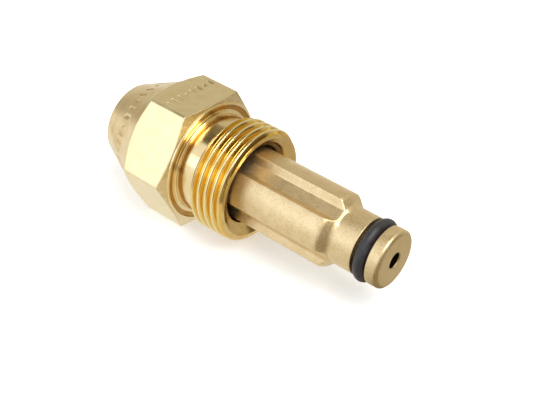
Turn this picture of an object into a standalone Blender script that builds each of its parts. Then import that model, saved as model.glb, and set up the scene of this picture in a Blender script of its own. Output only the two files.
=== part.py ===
"""Siphon oil burner nozzle: a hexagon-bodied air cap with an oil stem screwed into it.

Every turned piece is drawn as a half section, (station, radius), and spun about the nozzle's axis.
A station is a distance along the axis, counted from the tail side of the hexagon: positive towards
the oil stem's tail, negative towards the spray nose. The axis lies along +X, and the nozzle rests
on one flat of its hexagon at z = 0. All sizes are in metres.
"""

import math

import bmesh
import bpy

MM = 0.001
COLLECTION = "oil_burner_nozzle"
SEGMENTS = 48
GAP = 0.3 * MM

# Threaded skirt
THREAD_MAJOR = 8.73 * MM
THREAD_PITCH = 1.27 * MM
THREAD_DEPTH = 0.78 * MM
RELIEF_DEPTH = 0.3 * MM
RELIEF_LENGTH = 3.1 * MM
SKIRT_LENGTH = 10.0 * MM
SKIRT_WALL = 1.55 * MM
MOUTH_OUTER_CHAMFER = 0.5 * MM
MOUTH_INNER_CHAMFER = 0.38 * MM

# Hexagon
SEAT_WIDTH = 0.795 * MM
HEX_WIDTH = 6.45 * MM
NOSE_BEVEL = math.radians(35)
TAIL_BEVEL = math.radians(20)
BEVEL_INSET = 0.1 * MM

# Spray nose
NOSE_LENGTH = 15.4 * MM
NOSE_FACE_RADIUS = 5.85 * MM
NOSE_EDGE = 0.35 * MM
ORIFICE_RADIUS = 1.25 * MM
ORIFICE_LENGTH = 1.0 * MM
SWIRL_CONE = math.radians(45)
CHAMBER_STEP = 1.4 * MM
CHAMBER_LENGTH = 6.5 * MM

# Oil stem
AIR_PASSAGE = 0.8 * MM
LOBE_TAIL = 25.45 * MM
FLUTES = 4
FLUTE_PHASE = math.radians(115)
FLUTE_DEPTH = 1.15 * MM
FLUTE_FLOOR_WIDTH = 1.86 * MM
FLUTE_MOUTH_WIDTH = 3.64 * MM
COLLAR_LENGTH = 5.0 * MM
COLLAR_CHAMFER = 0.4 * MM
NECK_STEP = 1.32 * MM
NECK_LENGTH = 3.6 * MM
HEAD_STEP = 0.04 * MM
HEAD_LENGTH = 1.95 * MM
HEAD_CHAMFER = 0.35 * MM
OIL_BORE_RADIUS = 1.2 * MM

# Stem O-ring
RING_SECTION = 1.7 * MM
RING_STANDOUT = 0.38 * MM
RING_SIDE_GAP = 0.35 * MM
RING_SEAT_GAP = 0.1 * MM
RING_SIDES = 16

# Distributor tip
TIP_FLANGE_LENGTH = 1.6 * MM
SPIGOT_RADIUS = 1.9 * MM
SPIGOT_LENGTH = 2.2 * MM
NIB_GAP = 0.5 * MM
NIB_RECESS = 0.3 * MM
TIP_BORE_RADIUS = 0.8 * MM
METERING_RADIUS = 0.35 * MM
METERING_LENGTH = 1.2 * MM
SWIRL_SLOTS = 6
SLOT_WIDTH = 0.7 * MM
SLOT_DEPTH = 0.5 * MM
SLOT_OFFSET = 0.8 * MM
SLOT_START = 0.85 * MM

# Hexagon and seat, worked out from the thread that the seat surrounds
FLAT_RADIUS = THREAD_MAJOR + SEAT_WIDTH
CORNER_RADIUS = 2 * FLAT_RADIUS / math.sqrt(3)
SHOULDER_RADIUS = FLAT_RADIUS - BEVEL_INSET
SHOULDER = (CORNER_RADIUS - SHOULDER_RADIUS) * math.tan(TAIL_BEVEL)
THREAD_ROOT = THREAD_MAJOR - THREAD_DEPTH
RELIEF_RADIUS = THREAD_ROOT - RELIEF_DEPTH

# The body's inside, from its nose back
NOSE_ROOT = -HEX_WIDTH - (CORNER_RADIUS - SHOULDER_RADIUS) * math.tan(NOSE_BEVEL)
NOSE_FACE = -NOSE_LENGTH
BORE_RADIUS = THREAD_ROOT - SKIRT_WALL
MOUTH_INNER_RADIUS = BORE_RADIUS + MOUTH_INNER_CHAMFER
CHAMBER_RADIUS = BORE_RADIUS - CHAMBER_STEP
CONE_START = NOSE_FACE + ORIFICE_LENGTH
CONE_END = CONE_START + (CHAMBER_RADIUS - ORIFICE_RADIUS) / math.tan(SWIRL_CONE)
BORE_END = CONE_END + CHAMBER_LENGTH

# The tip, which follows the body's swirl cone
TIP_RADIUS = CHAMBER_RADIUS - 2 * GAP
NIB_RADIUS = ORIFICE_RADIUS - NIB_GAP
TIP_CONE_START = CONE_START + GAP / math.sin(SWIRL_CONE)
TIP_CONE_BACK = TIP_CONE_START + (TIP_RADIUS - ORIFICE_RADIUS) / math.tan(SWIRL_CONE)
TIP_CONE_FRONT = TIP_CONE_START - NIB_GAP / math.tan(SWIRL_CONE)
TIP_BACK = TIP_CONE_BACK + TIP_FLANGE_LENGTH
NIB_FACE = NOSE_FACE + NIB_RECESS

# The stem, from the tip it holds back to its head
STEM_FRONT = TIP_BACK + GAP
SOCKET_RADIUS = SPIGOT_RADIUS + GAP
SOCKET_BACK = TIP_BACK + SPIGOT_LENGTH + GAP
FRONT_NECK_RADIUS = CHAMBER_RADIUS - AIR_PASSAGE
COLLAR_RADIUS = BORE_RADIUS - GAP
COLLAR_FRONT = BORE_END + GAP
COLLAR_BACK = COLLAR_FRONT + COLLAR_LENGTH
LOBE_RADIUS = BORE_RADIUS - AIR_PASSAGE
FLUTE_FLOOR = LOBE_RADIUS - FLUTE_DEPTH
NECK_RADIUS = LOBE_RADIUS - NECK_STEP
HEAD_RADIUS = NECK_RADIUS + HEAD_STEP
GROOVE_START = LOBE_TAIL + NECK_LENGTH
GROOVE_END = GROOVE_START + RING_SECTION + 2 * RING_SIDE_GAP
STEM_TAIL = GROOVE_END + HEAD_LENGTH
MID_STATION = (STEM_TAIL + NOSE_FACE) / 2

# The O-ring, which stands out from the head, and the groove under it
RING_CENTRE = (GROOVE_START + GROOVE_END) / 2
RING_CENTRE_RADIUS = HEAD_RADIUS + RING_STANDOUT - RING_SECTION / 2
GROOVE_RADIUS = RING_CENTRE_RADIUS - RING_SECTION / 2 - RING_SEAT_GAP


def clear_scene():
    for obj in list(bpy.data.objects):
        bpy.data.objects.remove(obj, do_unlink=True)


def new_collection(name):
    collection = bpy.data.collections.new(name)
    bpy.context.scene.collection.children.link(collection)
    return collection


def make_material(name, colour, roughness, metallic):
    material = bpy.data.materials.new(name)
    material.use_nodes = True
    shader = material.node_tree.nodes["Principled BSDF"]
    shader.inputs["Base Color"].default_value = (*colour, 1)
    shader.inputs["Roughness"].default_value = roughness
    shader.inputs["Metallic"].default_value = metallic
    return material


def make_axis():
    """An empty on the nozzle's axis, at station 0, with its local Z along the axis towards the tail."""
    axis = bpy.data.objects.new("nozzle_axis", None)
    axis.location = (-MID_STATION, 0, FLAT_RADIUS)
    axis.rotation_euler = (0, math.pi / 2, 0)
    parts.objects.link(axis)
    return axis


def place(mesh, name, collection):
    obj = bpy.data.objects.new(name, mesh)
    obj.parent = nozzle_axis
    collection.objects.link(obj)
    return obj


def turned(name, section, collection, segments=SEGMENTS):
    """A piece turned from a closed half section of (station, radius) points, tail to nose outside."""
    mesh = bpy.data.meshes.new(name)
    points = [(radius, 0, station) for station, radius in section]
    edges = [(i, (i + 1) % len(points)) for i in range(len(points))]
    mesh.from_pydata(points, edges, [])
    obj = place(mesh, name, collection)
    spin = obj.modifiers.new("spin", "SCREW")
    spin.axis = "Z"
    spin.angle = 2 * math.pi
    spin.steps = segments
    spin.render_steps = segments
    spin.use_merge_vertices = True
    spin.merge_threshold = 0.00001
    spin.use_smooth_shade = True
    return obj


def cutter_from(bm, name):
    mesh = bpy.data.meshes.new(name)
    bm.to_mesh(mesh)
    bm.free()
    obj = place(mesh, name, cutters)
    obj.hide_render = True
    obj.display_type = "WIRE"
    return obj


def boolean(obj, operation, cutter):
    modifier = obj.modifiers.new(operation.lower(), "BOOLEAN")
    modifier.operation = operation
    modifier.solver = "EXACT"
    modifier.object = cutter


def thread_ridges(start, end, major, depth, pitch):
    """Rings at the thread's pitch, from the tail end forwards: flat crests and roots, 60 degree flanks."""
    flank = depth * math.tan(math.radians(30))
    crest = (pitch - 2 * flank) / 3
    count = int((end - start) / pitch)
    points = []
    for turn in range(count):
        back = end - turn * pitch
        points.append((back, major))
        points.append((back - crest, major))
        points.append((back - crest - flank, major - depth))
        points.append((back - pitch + flank, major - depth))
    return points


def body_outside():
    """The outer side of the body's half section, from the mouth of the skirt to the orifice."""
    thread_end = SKIRT_LENGTH - MOUTH_OUTER_CHAMFER
    relief_end = SHOULDER + RELIEF_LENGTH
    ridges = thread_ridges(relief_end, thread_end, THREAD_MAJOR, THREAD_DEPTH, THREAD_PITCH)
    nose_slope = math.atan2(SHOULDER_RADIUS - NOSE_FACE_RADIUS, NOSE_ROOT - NOSE_FACE)
    return [
        (SKIRT_LENGTH, MOUTH_INNER_RADIUS),
        (SKIRT_LENGTH, THREAD_MAJOR - MOUTH_OUTER_CHAMFER),
        *ridges,
        (relief_end, RELIEF_RADIUS),
        (SHOULDER, RELIEF_RADIUS),
        (SHOULDER, SHOULDER_RADIUS),
        (0, CORNER_RADIUS),
        (-HEX_WIDTH, CORNER_RADIUS),
        (NOSE_ROOT, SHOULDER_RADIUS),
        (NOSE_FACE + NOSE_EDGE * math.cos(nose_slope), NOSE_FACE_RADIUS + NOSE_EDGE * math.sin(nose_slope)),
        (NOSE_FACE, NOSE_FACE_RADIUS - NOSE_EDGE),
        (NOSE_FACE, ORIFICE_RADIUS),
    ]


def body_inside():
    """The inner side of the body's half section, from the orifice back to the mouth of the skirt."""
    return [
        (CONE_START, ORIFICE_RADIUS),
        (CONE_END, CHAMBER_RADIUS),
        (BORE_END, CHAMBER_RADIUS),
        (BORE_END, BORE_RADIUS),
        (SKIRT_LENGTH - MOUTH_INNER_CHAMFER, BORE_RADIUS),
    ]


def make_body():
    obj = turned("nozzle_body", body_outside() + body_inside(), parts)
    bm = bmesh.new()
    bmesh.ops.create_cone(
        bm,
        cap_ends=True,
        segments=6,
        radius1=CORNER_RADIUS,
        radius2=CORNER_RADIUS,
        depth=4 * NOSE_LENGTH,
    )
    # The prism's first corner is on local Y, which is world Y, so flats lie at the top and the bottom.
    boolean(obj, "INTERSECT", cutter_from(bm, "hexagon_cutter"))
    obj.data.materials.append(polished_brass)
    return obj


def stem_section():
    return [
        (STEM_TAIL, OIL_BORE_RADIUS),
        (STEM_TAIL, HEAD_RADIUS - HEAD_CHAMFER),
        (STEM_TAIL - HEAD_CHAMFER, HEAD_RADIUS),
        (GROOVE_END, HEAD_RADIUS),
        (GROOVE_END, GROOVE_RADIUS),
        (GROOVE_START, GROOVE_RADIUS),
        (GROOVE_START, NECK_RADIUS),
        (LOBE_TAIL, NECK_RADIUS),
        (LOBE_TAIL - NECK_STEP, LOBE_RADIUS),
        (COLLAR_BACK, LOBE_RADIUS),
        (COLLAR_BACK, COLLAR_RADIUS - COLLAR_CHAMFER),
        (COLLAR_BACK - COLLAR_CHAMFER, COLLAR_RADIUS),
        (COLLAR_FRONT + COLLAR_CHAMFER, COLLAR_RADIUS),
        (COLLAR_FRONT, COLLAR_RADIUS - COLLAR_CHAMFER),
        (COLLAR_FRONT, FRONT_NECK_RADIUS),
        (STEM_FRONT, FRONT_NECK_RADIUS),
        (STEM_FRONT, SOCKET_RADIUS),
        (SOCKET_BACK, SOCKET_RADIUS),
        (SOCKET_BACK, OIL_BORE_RADIUS),
    ]


def flute_cutter():
    """Four tapered bars side by side round the axis, one for each flute."""
    bm = bmesh.new()
    front = COLLAR_FRONT - COLLAR_LENGTH
    back = LOBE_TAIL + COLLAR_LENGTH
    top = COLLAR_RADIUS + 2 * GAP
    widening = (FLUTE_MOUTH_WIDTH - FLUTE_FLOOR_WIDTH) / 2
    mouth_height = math.sqrt(LOBE_RADIUS**2 - (FLUTE_MOUTH_WIDTH / 2) ** 2)
    slope = widening / (mouth_height - FLUTE_FLOOR)
    top_width = FLUTE_FLOOR_WIDTH + 2 * slope * (top - FLUTE_FLOOR)
    for index in range(FLUTES):
        # World angles run from +Y to +Z, and the local X axis points to world -Z.
        angle = FLUTE_PHASE + index * 2 * math.pi / FLUTES + math.pi / 2
        outward = (math.cos(angle), math.sin(angle))
        across = (-outward[1], outward[0])
        for vert in bmesh.ops.create_cube(bm, size=1)["verts"]:
            height = FLUTE_FLOOR if vert.co.x < 0 else top
            width = FLUTE_FLOOR_WIDTH if vert.co.x < 0 else top_width
            side = vert.co.y * width
            station = front if vert.co.z < 0 else back
            vert.co = (
                outward[0] * height + across[0] * side,
                outward[1] * height + across[1] * side,
                station,
            )
    bmesh.ops.recalc_face_normals(bm, faces=bm.faces)
    return cutter_from(bm, "flute_cutter")


def make_stem():
    obj = turned("oil_stem", stem_section(), parts)
    boolean(obj, "DIFFERENCE", flute_cutter())
    obj.data.materials.append(satin_brass)
    return obj


def make_ring():
    section = []
    for index in range(RING_SIDES):
        angle = math.pi / 2 - (index + 0.5) * 2 * math.pi / RING_SIDES
        station = RING_CENTRE + RING_SECTION / 2 * math.sin(angle)
        radius = RING_CENTRE_RADIUS + RING_SECTION / 2 * math.cos(angle)
        section.append((station, radius))
    obj = turned("stem_o_ring", section, parts)
    obj.data.materials.append(black_rubber)
    return obj


def tip_section():
    metering_back = NIB_FACE + METERING_LENGTH
    return [
        (TIP_BACK + SPIGOT_LENGTH, TIP_BORE_RADIUS),
        (TIP_BACK + SPIGOT_LENGTH, SPIGOT_RADIUS),
        (TIP_BACK, SPIGOT_RADIUS),
        (TIP_BACK, TIP_RADIUS),
        (TIP_CONE_BACK, TIP_RADIUS),
        (TIP_CONE_FRONT, NIB_RADIUS),
        (NIB_FACE, NIB_RADIUS),
        (NIB_FACE, METERING_RADIUS),
        (metering_back, METERING_RADIUS),
        (metering_back, TIP_BORE_RADIUS),
    ]


def slot_cutter():
    """Bars laid down the tip's cone, each to one side of the axis, so that the air enters turning."""
    bm = bmesh.new()
    start_radius = NIB_RADIUS + SLOT_START
    start_station = TIP_CONE_FRONT + SLOT_START / math.tan(SWIRL_CONE)
    length = (TIP_RADIUS + 2 * SLOT_DEPTH - start_radius) / math.sin(SWIRL_CONE)
    for index in range(SWIRL_SLOTS):
        angle = index * 2 * math.pi / SWIRL_SLOTS
        for vert in bmesh.ops.create_cube(bm, size=1)["verts"]:
            along = (vert.co.z + 0.5) * length
            lift = 2 * vert.co.x * SLOT_DEPTH
            radius = start_radius + along * math.sin(SWIRL_CONE) + lift * math.cos(SWIRL_CONE)
            station = start_station + along * math.cos(SWIRL_CONE) - lift * math.sin(SWIRL_CONE)
            side = SLOT_OFFSET + vert.co.y * SLOT_WIDTH
            vert.co = (
                radius * math.cos(angle) - side * math.sin(angle),
                radius * math.sin(angle) + side * math.cos(angle),
                station,
            )
    bmesh.ops.recalc_face_normals(bm, faces=bm.faces)
    return cutter_from(bm, "slot_cutter")


def make_tip():
    obj = turned("distributor_tip", tip_section(), parts)
    boolean(obj, "DIFFERENCE", slot_cutter())
    obj.data.materials.append(satin_brass)
    return obj


clear_scene()
parts = new_collection(COLLECTION)
cutters = new_collection("cutters")
polished_brass = make_material("polished_brass", (0.78, 0.60, 0.27), 0.22, 1)
satin_brass = make_material("satin_brass", (0.70, 0.57, 0.36), 0.42, 1)
black_rubber = make_material("black_rubber", (0.035, 0.033, 0.036), 0.5, 0)
nozzle_axis = make_axis()
make_body()
make_stem()
make_ring()
make_tip()
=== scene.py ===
"""The looks of the siphon oil burner nozzle: smooth turned and milled brass, real threads, a rubber ring.

Each piece is a grid of rings round the nozzle's axis. A ring holds one (station, radius) pair for each
of its columns, so a hexagon, a flute or a helical thread is a radius that changes with the angle.
Stations run along +X, from the tail side of the hexagon; all sizes are in metres.
"""

import math
from functools import partial

import bpy
import numpy as np
from mathutils import Matrix, Vector


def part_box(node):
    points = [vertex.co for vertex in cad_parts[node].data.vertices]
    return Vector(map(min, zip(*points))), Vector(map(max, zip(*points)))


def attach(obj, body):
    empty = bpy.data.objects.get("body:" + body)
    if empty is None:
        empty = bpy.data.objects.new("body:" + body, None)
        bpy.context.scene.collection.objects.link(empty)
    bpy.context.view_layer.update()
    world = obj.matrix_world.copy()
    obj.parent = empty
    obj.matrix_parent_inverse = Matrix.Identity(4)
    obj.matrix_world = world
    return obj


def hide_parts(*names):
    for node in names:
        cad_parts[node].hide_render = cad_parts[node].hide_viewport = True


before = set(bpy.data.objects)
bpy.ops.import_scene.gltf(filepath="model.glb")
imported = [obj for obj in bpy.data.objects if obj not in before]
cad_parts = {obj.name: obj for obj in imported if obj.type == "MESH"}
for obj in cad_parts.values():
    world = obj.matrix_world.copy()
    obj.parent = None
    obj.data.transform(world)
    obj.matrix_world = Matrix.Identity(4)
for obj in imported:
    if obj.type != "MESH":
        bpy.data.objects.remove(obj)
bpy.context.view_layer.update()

MM = 0.001

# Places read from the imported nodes
BODY_LOW, BODY_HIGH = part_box("nozzle_body")
STEM_LOW, STEM_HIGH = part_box("oil_stem")
RING_LOW, RING_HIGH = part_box("stem_o_ring")
AXIS_Z = (BODY_LOW[2] + BODY_HIGH[2]) / 2
FLAT_RADIUS = (BODY_HIGH[2] - BODY_LOW[2]) / 2
CORNER_RADIUS = 2 * FLAT_RADIUS / math.sqrt(3)
SKIRT_LENGTH = 10.0 * MM
ZERO_X = BODY_HIGH[0] - SKIRT_LENGTH
NOSE_FACE = BODY_LOW[0] - ZERO_X
STEM_TAIL = STEM_HIGH[0] - ZERO_X
STEM_FRONT = STEM_LOW[0] - ZERO_X
RING_CENTRE = (RING_LOW[0] + RING_HIGH[0]) / 2 - ZERO_X

# Hexagon and nose
HEX_WIDTH = 6.45 * MM
CORNER_BREAK = 0.09 * MM
NOSE_BEVEL = math.radians(35)
TAIL_BEVEL = math.radians(20)
SHOULDER_RADIUS = FLAT_RADIUS - 0.1 * MM
SHOULDER = (CORNER_RADIUS - SHOULDER_RADIUS) * math.tan(TAIL_BEVEL)
TAIL_EDGE_SHARE = 0.85
NOSE_ROOT = -HEX_WIDTH - (CORNER_RADIUS - SHOULDER_RADIUS) * math.tan(NOSE_BEVEL)
NOSE_FACE_RADIUS = 5.85 * MM
ORIFICE_RADIUS = 1.25 * MM
ORIFICE_LENGTH = 1.0 * MM
CHAMBER_RADIUS = 5.0 * MM
CHAMBER_LENGTH = 6.5 * MM

# Threads
THREAD_MAJOR = 8.73 * MM
THREAD_PITCH = 1.27 * MM
THREAD_DEPTH = 0.64 * MM
THREAD_PHASE = 0.42
CREST_SHARE = 0.42
RUN_OUT_SLOPE = 1.2
RELIEF_RADIUS = 7.65 * MM
RELIEF_LENGTH = 3.1 * MM
RELIEF_END = SHOULDER + RELIEF_LENGTH
BORE_MAJOR = 6.6 * MM
BORE_THREAD_DEPTH = 0.6 * MM
BORE_THREAD_PHASE = 0.5
SCREW_GAP = 0.12 * MM

# Mouth of the skirt, and the rim round the shoulder face
MOUTH_CHAMFER = 0.5 * MM
MOUTH_INNER_RADIUS = 6.78 * MM
MOUTH_DEPTH = 1.0 * MM
COUNTERSINK_DEPTH = 0.65 * MM
COUNTERSINK_WIDTH = 0.90 * MM
RIM_WIDTH = 0.38 * MM
RIM_HEIGHT = 0.20 * MM
RIM_RADIUS = SHOULDER_RADIUS - 0.12 * MM
RIM_FOOT = SHOULDER - 0.12 * MM

# Stem
LOBE_RADIUS = 5.6 * MM
LOBE_TAIL = 25.45 * MM
NECK_RADIUS = 4.28 * MM
FLUTES = 4
FLUTE_PHASE = math.radians(115)
FLUTE_FLOOR = 4.45 * MM
FLUTE_FLOOR_WIDTH = 1.86 * MM
FLUTE_MOUTH_WIDTH = 3.64 * MM
FLUTE_EDGE = 0.15 * MM
GROOVE_START = 29.05 * MM
GROOVE_END = 31.45 * MM
GROOVE_RADIUS = 2.9 * MM
HEAD_RADIUS = 4.32 * MM
OIL_BORE_RADIUS = 1.2 * MM
COLLAR_LENGTH = 5.0 * MM
FRONT_NECK_RADIUS = 4.2 * MM
SOCKET_RADIUS = 2.2 * MM
SOCKET_LENGTH = 2.5 * MM

# O-ring
RING_SECTION = 1.7 * MM
RING_OUTER_RADIUS = 4.7 * MM

# Stamped marks
MARK_WIDTH = 0.42 * MM
MARK_DEPTH = 0.14 * MM
FLAT_MARKS = 8
FLAT_MARK_SPACING = 1.25 * MM
FLAT_MARK_PLACE = -0.65 * HEX_WIDTH
FLAT_MARK_LONG = 1.3 * MM
FLAT_MARK_SHORT = 0.7 * MM
CONE_DASHES = 36
CONE_DASH_LENGTH = 1.4 * MM
CONE_DASH_RADIUS = 7.4 * MM
CONE_MARKS = NOSE_FACE + 4.6 * MM

# Places along the axis that follow from the sizes; NOSE_END is in the materials' millimetres
NOSE_END = (ZERO_X + NOSE_ROOT) / MM - 0.5
CONE_START = NOSE_FACE + ORIFICE_LENGTH
CONE_END = CONE_START + CHAMBER_RADIUS - ORIFICE_RADIUS
BORE_END = CONE_END + CHAMBER_LENGTH
COLLAR_FRONT = BORE_END + 0.3 * MM
COLLAR_BACK = COLLAR_FRONT + COLLAR_LENGTH

# How finely the surfaces are laid out
COLUMN_STEP = 1.25
SOFTENING = np.array([-0.04, -0.02, 0, 0.02, 0.04]) * MM
END_SHARE = 0.03

# The world is brightest at this azimuth and elevation
BRIGHT_SIDE = (-30, 5)


# Geometry helpers


def ring_of(angles, station, radius):
    """One ring: station and radius may each be a number or one value per column."""
    ring = np.empty((len(angles), 2))
    ring[:, 0] = station
    ring[:, 1] = radius
    return ring


def rounded(corners, steps=5):
    """Rings along a run of corners, each (ring, edge size), with every inner corner turned by a curve.

    Each straight between two curves gets a ring near each of its ends, so that it is shaded flat.
    """
    bends = [[corners[0][0]]]
    for before, (corner, size), after in zip(corners, corners[1:], corners[2:]):
        towards_before = before[0] - corner
        towards_after = after[0] - corner
        length_before = np.linalg.norm(towards_before, axis=1, keepdims=True)
        length_after = np.linalg.norm(towards_after, axis=1, keepdims=True)
        reach = np.minimum(size, 0.45 * np.minimum(length_before, length_after))
        start = corner + towards_before / length_before * reach
        end = corner + towards_after / length_after * reach
        turns = [step / steps for step in range(steps + 1)]
        bends.append([(1 - t) ** 2 * start + 2 * t * (1 - t) * corner + t**2 * end for t in turns])
    bends.append([corners[-1][0]])
    rings = list(bends[0])
    for before, after in zip(bends, bends[1:]):
        straight = after[0] - before[-1]
        rings += [before[-1] + straight * END_SHARE, after[0] - straight * END_SHARE, *after]
    return rings


def onward(previous, *corners):
    """Rings that go on from the last ring of a stretch, through corners as rounded() takes them."""
    return rounded([(previous[-1], 0), *corners])


def thread_radius(station, angles, major, depth, phase):
    """Radius of a right-hand thread with flat crests and roots and 60 degree flanks."""
    flank = depth * math.tan(math.radians(30)) / THREAD_PITCH
    crest = (1 - 2 * flank) * CREST_SHARE
    turn = (station / THREAD_PITCH - angles / (2 * math.pi) + phase) % 1
    height = (crest / 2 + flank - np.abs(turn - 0.5)) / flank
    return major - depth + depth * np.clip(height, 0, 1)


def skirt_thread(station, angles):
    return thread_radius(station, angles, THREAD_MAJOR, THREAD_DEPTH, THREAD_PHASE)


def bore_thread(station, angles):
    """The thread in the body's bore. The stem's collar has the same one, SCREW_GAP smaller in radius."""
    return thread_radius(station, angles, BORE_MAJOR, BORE_THREAD_DEPTH, BORE_THREAD_PHASE)


def thread_rings(angles, start, end, spacing, shape, limit):
    """Rings from start to end of a thread, never outside its limit, with its sharp corners averaged off."""
    count = int(abs(end - start) / spacing)
    rings = []
    for station in np.linspace(start, end, count):
        near = [np.minimum(shape(place), limit(place)) for place in station + SOFTENING]
        rings.append(ring_of(angles, station, np.mean(near, axis=0)))
    return rings


def no_limit(station):
    return math.inf


def lathe(name, stretches, angles):
    """A closed solid from stretches of rings, each with its material, along its outside and back inside."""
    rings = np.array([ring for stretch, material in stretches for ring in stretch])
    rows, columns = rings.shape[:2]
    points = np.empty((rows, columns, 3))
    points[:, :, 0] = rings[:, :, 0] + ZERO_X
    points[:, :, 1] = rings[:, :, 1] * np.cos(angles)
    points[:, :, 2] = rings[:, :, 1] * np.sin(angles) + AXIS_Z
    row = np.arange(rows)[:, None]
    column = np.arange(columns)[None, :]
    here = row * columns
    there = (row + 1) % rows * columns
    beside = (column + 1) % columns
    corners = [here + column, there + column, there + beside, here + beside]
    faces = np.stack(corners, axis=-1).reshape(-1, 4)
    mesh = bpy.data.meshes.new(name)
    mesh.from_pydata(points.reshape(-1, 3).tolist(), [], faces.tolist())
    materials = list(dict.fromkeys(material for _, material in stretches))
    for material in materials:
        mesh.materials.append(material)
    index = [materials.index(material) for stretch, material in stretches for _ in stretch]
    mesh.polygons.foreach_set("material_index", np.repeat(np.array(index, np.int32), columns))
    mesh.shade_smooth()
    obj = bpy.data.objects.new(name, mesh)
    bpy.context.scene.collection.objects.link(obj)
    even = obj.modifiers.new("even_shading", "WEIGHTED_NORMAL")
    even.mode = "FACE_AREA"
    even.weight = 80
    return obj


# Nozzle body


def body_angles():
    """Even columns, with more of them close to the hexagon's corners and across its marked top flat."""
    even = np.arange(0, 360, COLUMN_STEP)
    near = [(60 * k + shift) % 360 for k in range(6) for shift in (-0.83, -0.4, 0.4, 0.83)]
    marked = np.arange(60, 120, COLUMN_STEP / 3)
    return np.radians(np.unique(np.round(np.concatenate([even, near, marked]), 3)))


def hexagon_radius(angles):
    from_flat = angles % (math.pi / 3) - math.pi / 6
    return np.minimum(FLAT_RADIUS / np.cos(from_flat), CORNER_RADIUS - CORNER_BREAK)


def skirt_limit(station):
    """The thread's outside, chamfered at the mouth and run out at the relief."""
    mouth = THREAD_MAJOR - MOUTH_CHAMFER + (SKIRT_LENGTH - station)
    relief = RELIEF_RADIUS + max(0, station - RELIEF_END) * RUN_OUT_SLOPE
    return min(THREAD_MAJOR, mouth, relief)


def dent(across, along, width, length):
    """A stamped dash, from 0 outside it to 1 at its middle."""
    side = np.clip((width / 2 - np.abs(across)) / (0.4 * width) + 0.5, 0, 1)
    end = np.clip((length / 2 - np.abs(along)) / (0.4 * width) + 0.5, 0, 1)
    return side * end


def flat_marks(station, angles, hexagon):
    """A row of plain punched dashes across the top flat."""
    on_top = np.abs(angles - math.pi / 2) < math.pi / 6
    place = hexagon * np.cos(angles)
    depth = np.zeros_like(angles)
    for index in range(FLAT_MARKS):
        middle = (index - (FLAT_MARKS - 1) / 2) * FLAT_MARK_SPACING
        length = FLAT_MARK_LONG if index % 3 else FLAT_MARK_SHORT
        depth = np.maximum(depth, dent(place - middle, station - FLAT_MARK_PLACE, MARK_WIDTH, length))
    return MARK_DEPTH * depth * on_top


def cone_marks(station, angles):
    """Plain punched dashes round the nose cone."""
    step = 2 * math.pi / CONE_DASHES
    away = ((angles + step / 2) % step - step / 2) * CONE_DASH_RADIUS
    every_third = np.floor((angles + step / 2) / step) % 3 == 0
    length = np.where(every_third, MARK_WIDTH, CONE_DASH_LENGTH)
    return MARK_DEPTH * dent(away, station - CONE_MARKS, MARK_WIDTH, length)


def cone_ring(station, angles):
    """A ring of the nose cone, with the dashes punched in it."""
    share = (station - NOSE_FACE) / (NOSE_ROOT - NOSE_FACE)
    radius = NOSE_FACE_RADIUS + share * (SHOULDER_RADIUS - NOSE_FACE_RADIUS)
    return ring_of(angles, station, radius - cone_marks(station, angles))


def shoulder_stretches(angles, thread):
    """From the skirt thread outwards: its relief, the shoulder face, and the raised rim round that."""
    at = partial(ring_of, angles)
    relief = onward(
        thread,
        (at(SHOULDER, RELIEF_RADIUS), 0.3 * MM),
        (at(SHOULDER, RELIEF_RADIUS + 0.6 * MM), 0),
    )
    face = onward(
        relief,
        (at(SHOULDER, RIM_RADIUS - RIM_WIDTH), 0.1 * MM),
        (at(SHOULDER + RIM_HEIGHT, RIM_RADIUS - RIM_WIDTH + 0.1 * MM), 0),
    )
    rim = onward(
        face,
        (at(SHOULDER + RIM_HEIGHT, RIM_RADIUS), 0.15 * MM),
        (at(RIM_FOOT, RIM_RADIUS + 0.05 * MM), 0.03 * MM),
        (at(RIM_FOOT, RIM_RADIUS + 0.08 * MM), 0),
    )
    return relief, face, rim


def hexagon_stretches(angles, rim):
    """The bevel on the tail side, the marked flats, and the bevel down to the nose."""
    at = partial(ring_of, angles)
    hexagon = hexagon_radius(angles)
    below_corner = CORNER_RADIUS - hexagon
    tail_edge = at(below_corner * math.tan(TAIL_BEVEL) * TAIL_EDGE_SHARE, hexagon)
    nose_edge = at(-HEX_WIDTH - below_corner * math.tan(NOSE_BEVEL), hexagon)
    bevel = onward(
        rim,
        (tail_edge, 0.16 * MM),
        (tail_edge + (-0.2 * MM, 0), 0),
    )
    flats = [bevel[-1]]
    for station in np.arange(-0.3 * MM, -HEX_WIDTH + 0.3 * MM, -0.09 * MM):
        flats.append(at(station, hexagon - flat_marks(station, angles, hexagon)))
    flats.append(nose_edge + (0.1 * MM, 0))
    nose = onward(
        flats,
        (nose_edge, 0.10 * MM),
        (at(NOSE_ROOT, SHOULDER_RADIUS), 0.2 * MM),
        (cone_ring(CONE_MARKS + 1.1 * MM, angles), 0),
    )
    return bevel, flats, nose


def nose_stretches(angles):
    """The marked part of the cone, then the nose's face and orifice."""
    at = partial(ring_of, angles)
    cone = [cone_ring(CONE_MARKS + shift * MM, angles) for shift in np.arange(1.0, -1.01, -0.08)]
    orifice = onward(
        cone,
        (at(NOSE_FACE, NOSE_FACE_RADIUS), 0.35 * MM),
        (at(NOSE_FACE, ORIFICE_RADIUS + 0.3 * MM), 0.05 * MM),
        (at(NOSE_FACE + 0.3 * MM, ORIFICE_RADIUS), 0.05 * MM),
        (at(CONE_START, ORIFICE_RADIUS), 0),
    )
    return cone, orifice


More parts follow.
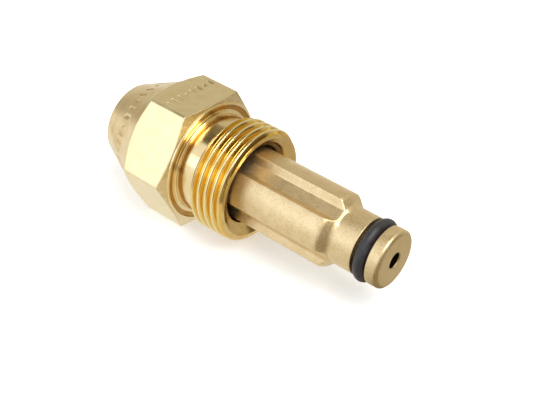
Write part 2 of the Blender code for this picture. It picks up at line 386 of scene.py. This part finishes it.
def inner_stretches(angles, orifice, thread):
    """Back along the inside: the swirl chamber, the threaded bore, and the countersunk mouth."""
    at = partial(ring_of, angles)
    chamber = onward(
        orifice,
        (at(CONE_END, CHAMBER_RADIUS), 0.3 * MM),
        (at(BORE_END, CHAMBER_RADIUS), 0.1 * MM),
        (at(BORE_END, BORE_MAJOR - BORE_THREAD_DEPTH), 0),
    )
    bore = thread_rings(
        angles,
        BORE_END + 0.05 * MM,
        SKIRT_LENGTH - MOUTH_DEPTH,
        0.07 * MM,
        lambda station: bore_thread(station, angles),
        no_limit,
    )
    mouth = onward(
        bore,
        (at(SKIRT_LENGTH - COUNTERSINK_DEPTH, MOUTH_INNER_RADIUS), 0.15 * MM),
        (at(SKIRT_LENGTH, MOUTH_INNER_RADIUS + COUNTERSINK_WIDTH), 0.15 * MM),
        (at(SKIRT_LENGTH, THREAD_MAJOR - MOUTH_CHAMFER), 0.25 * MM),
        (thread[0], 0),
    )
    return chamber, bore, mouth


def make_body():
    angles = body_angles()
    thread = thread_rings(
        angles,
        SKIRT_LENGTH - 0.06 * MM,
        RELIEF_END,
        0.04 * MM,
        lambda station: skirt_thread(station, angles),
        skirt_limit,
    )
    relief, face, rim = shoulder_stretches(angles, thread)
    bevel, flats, nose = hexagon_stretches(angles, rim)
    cone, orifice = nose_stretches(angles)
    chamber, bore, mouth = inner_stretches(angles, orifice, thread)
    stretches = [
        (thread[:-1], brass_thread),
        (relief[:-1], brass_turned),
        (face[:-1], brass_face_shaded),
        (rim[:-1], brass_turned),
        (bevel[:-1], brass_grained),
        (flats[:-1], brass_drawn),
        (nose[:-1] + cone[:-1] + orifice[:-1], brass_nose),
        (chamber, brass_bore_shaded),
        (bore[:-1], brass_bore_shaded),
        (mouth[:-1], brass_mouth),
    ]
    body = lathe("nozzle_body_shell", stretches, angles)
    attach(body, "body")
    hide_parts("nozzle_body")
    return body


# Oil stem


def stem_angles():
    """Even columns, with more of them at the edges and the floor corners of each flute."""
    floor = math.degrees(math.atan2(FLUTE_FLOOR_WIDTH / 2, FLUTE_FLOOR))
    mouth = math.degrees(math.asin(FLUTE_MOUTH_WIDTH / 2 / LOBE_RADIUS))
    near = []
    for index in range(FLUTES):
        middle = math.degrees(FLUTE_PHASE) + index * 360 / FLUTES
        for side in (-1, 1):
            near += [middle + side * (mouth + shift) for shift in np.arange(-1.6, 1.61, 0.32)]
            near += [middle + side * (floor + shift) for shift in np.arange(-1.5, 1.51, 0.5)]
    angles = np.concatenate([np.arange(0.11, 360, 1.5), np.array(near) % 360])
    return np.radians(np.sort(angles))


def flute_radius(angles):
    """How far out each column's metal may reach because of the flutes."""
    half_floor = FLUTE_FLOOR_WIDTH / 2
    half_mouth = FLUTE_MOUTH_WIDTH / 2
    mouth_height = math.sqrt(LOBE_RADIUS**2 - half_mouth**2)
    lean = (half_mouth - half_floor) / (mouth_height - FLUTE_FLOOR)
    quarter = 2 * math.pi / FLUTES
    away = np.abs((angles - FLUTE_PHASE + quarter / 2) % quarter - quarter / 2)
    floor = FLUTE_FLOOR / np.cos(away)
    behind = np.maximum(lean - np.tan(away), 0.05)
    wall = (lean * FLUTE_FLOOR - half_floor) / behind / np.cos(away)
    return soft_max(floor, wall, FLUTE_EDGE)


def soft_max(a, b, softness):
    """The larger of the two, with a rounded change from one to the other."""
    overlap = np.maximum(softness - np.abs(a - b), 0) / softness
    return np.maximum(a, b) + overlap**2 * softness / 4


def soft_min(a, b, softness):
    return -soft_max(-a, -b, softness)


def tail_rings(angles, lobes):
    """From the oil bore over the tail face, the head, the ring's groove and the neck onto the lobes."""
    at = partial(ring_of, angles)
    return rounded([
        (at(STEM_TAIL - 0.25 * MM, OIL_BORE_RADIUS), 0),
        (at(STEM_TAIL - 0.12 * MM, OIL_BORE_RADIUS), 0.03 * MM),
        (at(STEM_TAIL, OIL_BORE_RADIUS + 0.12 * MM), 0.05 * MM),
        (at(STEM_TAIL, HEAD_RADIUS - 0.38 * MM), 0.2 * MM),
        (at(STEM_TAIL - 0.35 * MM, HEAD_RADIUS), 0.2 * MM),
        (at(GROOVE_END, HEAD_RADIUS), 0.07 * MM),
        (at(GROOVE_END, GROOVE_RADIUS), 0.15 * MM),
        (at(GROOVE_START, GROOVE_RADIUS), 0.15 * MM),
        (at(GROOVE_START, NECK_RADIUS), 0.1 * MM),
        (at(LOBE_TAIL, NECK_RADIUS), 0.55 * MM),
        (at(LOBE_TAIL - (lobes - NECK_RADIUS), lobes), 0.45 * MM),
        (at(COLLAR_BACK + 4 * MM, lobes), 0),
    ])


def collar_limit(station, flutes):
    """The collar's outside, run out at both ends and cut through by the flutes."""
    back = max(LOBE_RADIUS + (COLLAR_BACK - station) * RUN_OUT_SLOPE, LOBE_RADIUS - 0.1 * MM)
    front = max(LOBE_RADIUS + (station - COLLAR_FRONT) * RUN_OUT_SLOPE, LOBE_RADIUS - 0.2 * MM)
    return np.minimum(np.minimum(flutes, back), front)


def front_rings(angles, collar):
    """From the collar over the front neck, into the tip's socket and along the oil bore."""
    at = partial(ring_of, angles)
    return onward(
        collar,
        (at(COLLAR_FRONT, FRONT_NECK_RADIUS), 0.1 * MM),
        (at(STEM_FRONT, FRONT_NECK_RADIUS), 0.2 * MM),
        (at(STEM_FRONT, SOCKET_RADIUS), 0.1 * MM),
        (at(STEM_FRONT + SOCKET_LENGTH, SOCKET_RADIUS), 0.1 * MM),
        (at(STEM_FRONT + SOCKET_LENGTH, OIL_BORE_RADIUS), 0.1 * MM),
        (at(STEM_TAIL - 0.3 * MM, OIL_BORE_RADIUS), 0),
    )


def make_stem():
    angles = stem_angles()
    flutes = flute_radius(angles)
    lobes = soft_min(np.full_like(angles, LOBE_RADIUS), flutes, FLUTE_EDGE)
    tail = tail_rings(angles, lobes)
    lobe_end = ring_of(angles, COLLAR_BACK + 0.3 * MM, lobes)
    collar = thread_rings(
        angles,
        COLLAR_BACK,
        COLLAR_FRONT,
        0.06 * MM,
        lambda station: bore_thread(station, angles) - SCREW_GAP,
        lambda station: collar_limit(station, flutes),
    )
    front = front_rings(angles, collar)
    stretches = [
        (tail + [lobe_end] + collar + front[1:-2], brass_satin),
        # The stem's socket and oil bore take the same painted shade as the body's bores.
        (front[-2:], brass_bore_shaded),
    ]
    stem = lathe("oil_stem_turned", stretches, angles)
    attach(stem, "stem")
    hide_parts("oil_stem")
    return stem


# O-ring and tip


def make_ring():
    angles = np.radians(np.arange(0, 360, 1.5))
    centre_radius = RING_OUTER_RADIUS - RING_SECTION / 2
    rings = []
    for turn in np.linspace(math.pi / 2, -1.5 * math.pi, 48, endpoint=False):
        station = RING_CENTRE + RING_SECTION / 2 * math.sin(turn)
        rings.append(ring_of(angles, station, centre_radius + RING_SECTION / 2 * math.cos(turn)))
    ring = lathe("stem_o_ring_moulded", [(rings, rubber)], angles)
    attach(ring, "o_ring")
    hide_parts("stem_o_ring")
    return ring


def finish_tip():
    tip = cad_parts["distributor_tip"]
    tip.data.materials.clear()
    tip.data.materials.append(brass_satin)


# Materials


class Nodes:
    """A small helper that adds nodes to one material and joins them."""

    def __init__(self, name, metallic):
        self.material = bpy.data.materials.new(name)
        self.material.use_nodes = True
        self.tree = self.material.node_tree
        self.shader = self.tree.nodes["Principled BSDF"]
        self.shader.inputs["Metallic"].default_value = metallic

    def add(self, kind, inputs=None, **settings):
        node = self.tree.nodes.new(kind)
        for key, value in settings.items():
            setattr(node, key, value)
        for key, value in (inputs or {}).items():
            if isinstance(value, bpy.types.NodeSocket):
                self.tree.links.new(value, node.inputs[key])
            else:
                node.inputs[key].default_value = value
        return node

    def math(self, operation, a, b):
        return self.add("ShaderNodeMath", {0: a, 1: b}, operation=operation).outputs[0]

    def blend(self, a, b, share):
        """That share of a, and the rest of b."""
        return self.math("ADD", self.math("MULTIPLY", a, share), self.math("MULTIPLY", b, 1 - share))

    def millimetres(self):
        """Object coordinates in millimetres, counted from the nozzle's axis."""
        place = self.add("ShaderNodeTexCoord").outputs["Object"]
        to_axis = {0: place, 1: (0, 0, -AXIS_Z)}
        centred = self.add("ShaderNodeVectorMath", to_axis, operation="ADD").outputs[0]
        to_millimetres = {0: centred, "Scale": 1 / MM}
        return self.add("ShaderNodeVectorMath", to_millimetres, operation="SCALE").outputs[0]

    def noise(self, vector, scale, detail, roughness=0.5, stretch=(1, 1, 1)):
        mapping = self.add("ShaderNodeMapping", {"Vector": vector, "Scale": stretch})
        inputs = {"Vector": mapping.outputs[0], "Scale": scale, "Detail": detail, "Roughness": roughness}
        return self.add("ShaderNodeTexNoise", inputs).outputs[0]

    def ramp(self, factor, low, high, start=0.3, end=0.7):
        ramp = self.add("ShaderNodeValToRGB", {"Fac": factor})
        ramp.color_ramp.elements[0].position = start
        ramp.color_ramp.elements[1].position = end
        ramp.color_ramp.elements[0].color = (*low, 1)
        ramp.color_ramp.elements[1].color = (*high, 1)
        return ramp.outputs[0]

    def between(self, factor, low, high, start=0.3, end=0.7):
        inputs = {"Value": factor, "From Min": start, "From Max": end, "To Min": low, "To Max": high}
        return self.add("ShaderNodeMapRange", inputs).outputs[0]

    def bump(self, height, distance, strength):
        inputs = {"Height": height, "Distance": distance, "Strength": strength}
        return self.add("ShaderNodeBump", inputs).outputs[0]

    def use(self, **links):
        for name, value in links.items():
            socket = self.shader.inputs[name.replace("_", " ")]
            if isinstance(value, bpy.types.NodeSocket):
                self.tree.links.new(value, socket)
            else:
                socket.default_value = value
        return self.material

    def along(self, vector):
        """Distance along the axis."""
        return self.add("ShaderNodeSeparateXYZ", {0: vector}).outputs[0]

    def radius(self, vector):
        """Distance from the nozzle's axis."""
        across = self.add("ShaderNodeVectorMath", {0: vector, 1: (0, 1, 1)}, operation="MULTIPLY")
        length = self.add("ShaderNodeVectorMath", {0: across.outputs[0]}, operation="LENGTH")
        return length.outputs["Value"]

    def along_profile(self, vector):
        """A distance that mixes both: constant along every turning mark."""
        along = self.along(vector)
        total = self.math("ADD", self.math("MULTIPLY", self.radius(vector), 0.83), along)
        return self.add("ShaderNodeCombineXYZ", {0: total}).outputs[0]


def turned_brass(name, dark, light, roughness=(0.10, 0.24)):
    """Bright brass off the lathe: fine turning marks and a slightly uneven polish."""
    nodes = Nodes(name, 1)
    place = nodes.millimetres()
    marks = nodes.noise(nodes.along_profile(place), 7.0, detail=4, roughness=0.7)
    cloud = nodes.noise(place, 0.55, detail=4)
    both = nodes.blend(marks, cloud, 0.5)
    normal = nodes.bump(marks, 0.004 * MM, 0.5)
    return nodes.use(Base_Color=nodes.ramp(both, dark, light, 0.35, 0.65),
                     Roughness=nodes.between(both, *roughness), Normal=normal)


def thread_brass():
    """The thread: pale crests over deep golden flanks and roots, a painted shade that grows darker and more
    orange towards the roots.
    """
    nodes = Nodes("brass_thread", 1)
    place = nodes.millimetres()
    marks = nodes.noise(place, 6.0, detail=3, stretch=(1, 0.4, 0.4))
    root = (THREAD_MAJOR - THREAD_DEPTH) / MM
    height = nodes.between(nodes.radius(place), 0, 1, root, THREAD_MAJOR / MM)
    uneven = nodes.math("MULTIPLY", nodes.math("SUBTRACT", marks, 0.5), 0.25)
    root_shade_and_tone = nodes.math("ADD", height, uneven)
    # Painted shade: the colour runs from pale at the crests to dark orange in the roots, with some random
    # unevenness of tone.
    colour = nodes.ramp(root_shade_and_tone, (0.81, 0.52, 0.11), (0.97, 0.83, 0.47), 0.55, 1.0)
    roughness = nodes.between(root_shade_and_tone, 0.13, 0.26, 0.4, 1)
    normal = nodes.bump(marks, 0.006 * MM, 0.5)
    return nodes.use(Base_Color=colour, Roughness=roughness, Normal=normal)


def grained_brass(name, dark, light, roughness, depth, size):
    """Tumbled or scaly brass: matte and finely pitted."""
    nodes = Nodes(name, 1)
    place = nodes.millimetres()
    cloud = nodes.noise(place, 0.7, detail=4)
    grain = nodes.noise(place, size, detail=3, roughness=0.6)
    both = nodes.blend(cloud, grain, 0.3)
    normal = nodes.bump(grain, depth, 0.6)
    return nodes.use(Base_Color=nodes.ramp(both, dark, light, 0.35, 0.65),
                     Roughness=nodes.between(grain, *roughness), Normal=normal)


def drawn_brass():
    """Hexagon bar: faint lengthwise drawing lines and a soft, slightly cloudy face."""
    nodes = Nodes("brass_drawn", 1)
    place = nodes.millimetres()
    lines = nodes.noise(place, 4.0, detail=4, roughness=0.6, stretch=(0.10, 1, 1))
    cloud = nodes.noise(place, 0.6, detail=5, roughness=0.6)
    both = nodes.blend(lines, cloud, 0.4)
    normal = nodes.bump(lines, 0.005 * MM, 0.5)
    return nodes.use(Base_Color=nodes.ramp(both, (0.83, 0.68, 0.37), (0.91, 0.78, 0.48), 0.41, 0.59),
                     Roughness=nodes.between(both, 0.26, 0.40), Normal=normal)


def nose_brass():
    """The nose: softly polished and stained in golden clouds, with dark bottoms in the punched dashes."""
    nodes = Nodes("brass_nose", 1)
    place = nodes.millimetres()
    marks = nodes.noise(nodes.along_profile(place), 6.0, detail=3, roughness=0.6)
    cloud = nodes.noise(place, 0.42, detail=5, roughness=0.6)
    along = nodes.along(place)
    cone = nodes.between(along, NOSE_FACE_RADIUS / MM, SHOULDER_RADIUS / MM,
                         (ZERO_X + NOSE_FACE) / MM, (ZERO_X + NOSE_ROOT) / MM)
    below_cone = nodes.math("SUBTRACT", cone, nodes.radius(place))
    punched = nodes.between(below_cone, 0, 0.35, 0.02, MARK_DEPTH / MM)
    on_cone = nodes.math("LESS_THAN", along, NOSE_END)
    both = nodes.blend(marks, cloud, 0.25)
    shade = nodes.math("SUBTRACT", both, nodes.math("MULTIPLY", punched, on_cone))
    normal = nodes.bump(marks, 0.006 * MM, 0.5)
    return nodes.use(Base_Color=nodes.ramp(shade, (0.68, 0.50, 0.22), (0.86, 0.71, 0.43), 0.36, 0.60),
                     Roughness=nodes.between(both, 0.36, 0.24), Normal=normal)


def bore_brass():
    """Inside the bores: painted light, golden, just inside the skirt's mouth, and painted shade, brown and
    dull, everywhere else.
    """
    nodes = Nodes("brass_bore_shaded", 1)
    place = nodes.millimetres()
    cloud = nodes.noise(place, 0.8, detail=4)
    along = nodes.along(place)
    mouth = (ZERO_X + SKIRT_LENGTH) / MM
    lit = nodes.between(along, 0, 1, mouth - 1.8, mouth - 0.2)
    beyond = nodes.between(along, 1, 0, mouth + 0.5, mouth + 1.0)
    near_mouth = nodes.math("MULTIPLY", lit, beyond)
    shade = nodes.math("MULTIPLY", near_mouth, nodes.between(cloud, 0.7, 1.0))
    colour = nodes.ramp(shade, (0.06, 0.03, 0.012), (0.66, 0.42, 0.13), 0, 1)
    return nodes.use(Base_Color=colour, Roughness=0.35)


def ring_rubber():
    """Black rubber, faintly cloudy and finely grained."""
    nodes = Nodes("rubber", 0)
    place = nodes.millimetres()
    cloud = nodes.noise(place, 1.2, detail=4)
    grain = nodes.noise(place, 11.0, detail=3)
    colour = nodes.ramp(cloud, (0.018, 0.017, 0.019), (0.036, 0.034, 0.038))
    roughness = nodes.between(grain, 0.36, 0.52)
    normal = nodes.bump(grain, 0.008 * MM, 0.5)
    return nodes.use(Base_Color=colour, Roughness=roughness, Normal=normal)


def pale_floor():
    """A plain floor that glows a little, so that it stays as white as the photo's."""
    nodes = Nodes("pale_floor", 0)
    cloud = nodes.noise(nodes.millimetres(), 0.02, detail=2)
    colour = nodes.ramp(cloud, (0.90, 0.92, 0.95), (0.92, 0.94, 0.97))
    return nodes.use(Base_Color=colour, Roughness=0.7,
                     Emission_Color=(0.96, 0.98, 1, 1), Emission_Strength=0.32)


# Stage


def make_floor():
    bpy.ops.mesh.primitive_plane_add(size=4, location=(0, 0, BODY_LOW[2] - 0.02 * MM))
    floor = bpy.context.object
    floor.name = "floor"
    floor.data.materials.append(pale_floor())


def direction(azimuth, elevation):
    """The direction to a place round the object. Azimuth 0 is at -Y and 90 at +X."""
    a, e = math.radians(azimuth), math.radians(elevation)
    return Vector((math.sin(a) * math.cos(e), -math.cos(a) * math.cos(e), math.sin(e)))


def make_light(name, azimuth, elevation, distance, size, watts, colour=(1, 1, 1)):
    lamp = bpy.data.lights.new(name, "AREA")
    lamp.shape = "RECTANGLE"
    lamp.size, lamp.size_y = size
    lamp.energy = watts
    lamp.color = colour
    obj = bpy.data.objects.new(name, lamp)
    towards = direction(azimuth, elevation)
    obj.location = towards * distance + Vector((0, 0, AXIS_Z))
    obj.rotation_euler = towards.to_track_quat("Z", "Y").to_euler()
    bpy.context.scene.collection.objects.link(obj)


def make_card(name, location, rotation, size, grey):
    """A glowing card that only shows in reflections: the darker its grey, the warmer its tint."""
    bpy.ops.mesh.primitive_plane_add(size=1)
    card = bpy.context.object
    card.name = name
    card.data.transform(Matrix.Diagonal((size[0], size[1], 1, 1)))
    card.location = location
    card.rotation_euler = rotation
    nodes = Nodes(name, 0)
    tint = (grey, grey**1.15, grey**1.5, 1)
    nodes.use(Base_Color=(0, 0, 0, 1), Emission_Color=tint, Emission_Strength=1, Roughness=1.0)
    card.data.materials.append(nodes.material)
    card.visible_camera = False
    card.visible_diffuse = False
    card.visible_shadow = False


def make_flag(name, azimuth, elevation, size, grey):
    """A card that faces the object from half a metre away."""
    towards = direction(azimuth, elevation)
    rotation = towards.to_track_quat("Z", "Y").to_euler()
    make_card(name, towards * 0.5 + Vector((0, 0, AXIS_Z)), rotation, size, grey)


def make_table_card(name, low, high, grey):
    """A card lying just above the floor, between two (x, y) corners in millimetres."""
    middle = [(a + b) / 2 * MM for a, b in zip(low, high)]
    size = [(b - a) * MM for a, b in zip(low, high)]
    make_card(name, (*middle, BODY_LOW[2] - 0.01 * MM), (0, 0, 0), size, grey)


def make_world():
    """A bright room: whitest in front and to the left, greyer and warmer behind and overhead."""
    world = bpy.data.worlds.new("studio")
    bpy.context.scene.world = world
    world.use_nodes = True
    tree = world.node_tree
    background = tree.nodes["Background"]
    coordinates = tree.nodes.new("ShaderNodeTexCoord")
    front = tree.nodes.new("ShaderNodeVectorMath")
    front.operation = "DOT_PRODUCT"
    front.inputs[1].default_value = direction(*BRIGHT_SIDE)
    tree.links.new(coordinates.outputs["Generated"], front.inputs[0])
    ramp = tree.nodes.new("ShaderNodeValToRGB")
    ramp.color_ramp.interpolation = "EASE"
    half = tree.nodes.new("ShaderNodeMath")
    half.operation = "MULTIPLY_ADD"
    half.inputs[1].default_value = 0.5
    half.inputs[2].default_value = 0.5
    tree.links.new(front.outputs["Value"], half.inputs[0])
    tree.links.new(half.outputs[0], ramp.inputs["Fac"])
    ramp.color_ramp.elements[0].position = 0.60
    ramp.color_ramp.elements[0].color = (0.62, 0.58, 0.48, 1)
    ramp.color_ramp.elements[1].position = 0.86
    ramp.color_ramp.elements[1].color = (1.0, 1.01, 1.05, 1)
    tree.links.new(ramp.outputs[0], background.inputs["Color"])
    background.inputs["Strength"].default_value = 1.0


def make_studio():
    make_world()
    make_light("key_left", -30, 18, 0.45, (0.26, 0.16), 0.10, (0.75, 0.94, 1.2))
    make_light("fill_top", 75, 62, 0.5, (0.36, 0.36), 1.90)
    make_flag("flag_top", -83, 62, (0.28, 0.22), 0.10)
    make_flag("flag_right", 112, 12, (0.60, 0.45), 0.12)
    make_flag("flag_front", 62, 8, (0.24, 0.30), 0.14)
    make_flag("flag_left", -88, 8, (0.24, 0.12), 0.35)
    make_flag("flag_back", -120, 54, (0.20, 0.18), 0.20)
    make_table_card("table_left", (-300, -300), (-8, 300), 0.92)
    make_table_card("table_front", (-8, -300), (20, 4), 0.80)
    make_table_card("table_corner", (20, -300), (300, 4), 0.28)
    make_table_card("table_back", (-8, 4), (40, 300), 0.56)
    make_table_card("table_right", (40, 4), (300, 300), 0.38)
    bpy.context.scene.view_settings.view_transform = "Standard"


def make_camera():
    azimuth, elevation, roll = 36.58, 35.50, 5.50
    distance = 150.2 * MM
    data = bpy.data.cameras.new("camera")
    data.lens = 71.2
    data.sensor_width = 36
    data.clip_start = 0.01
    camera = bpy.data.objects.new("camera", data)
    bpy.context.scene.collection.objects.link(camera)
    aim = Vector((ZERO_X + 11.97 * MM, -0.72 * MM, AXIS_Z - 0.81 * MM))
    back = direction(azimuth, elevation)
    camera.rotation_mode = "QUATERNION"
    camera.location = aim + back * distance
    turn = Matrix.Rotation(math.radians(roll), 3, "Z").to_quaternion()
    camera.rotation_quaternion = (-back).to_track_quat("-Z", "Y") @ turn
    bpy.context.scene.camera = camera


brass_turned = turned_brass("brass_turned", (0.84, 0.64, 0.30), (0.92, 0.78, 0.48))
# Painted shade: the recessed shoulder face is coloured dark, saturated orange-brown, standing in for light
# bounced between it, the rim and the thread.
brass_face_shaded = turned_brass("brass_face_shaded", (0.38, 0.19, 0.035), (0.56, 0.32, 0.08), (0.14, 0.26))
brass_mouth = turned_brass("brass_mouth", (0.66, 0.44, 0.15), (0.84, 0.64, 0.28), (0.16, 0.28))
brass_nose = nose_brass()
brass_thread = thread_brass()
brass_grained = grained_brass("brass_grained", (0.70, 0.53, 0.24), (0.95, 0.83, 0.56),
                              roughness=(0.28, 0.42), depth=0.18 * MM, size=3.5)
brass_drawn = drawn_brass()
brass_satin = grained_brass("brass_satin", (0.71, 0.53, 0.27), (0.92, 0.75, 0.46),
                            roughness=(0.32, 0.46), depth=0.06 * MM, size=5.0)
brass_bore_shaded = bore_brass()
rubber = ring_rubber()
make_camera()
make_body()
make_stem()
make_ring()
finish_tip()
make_floor()
make_studio()
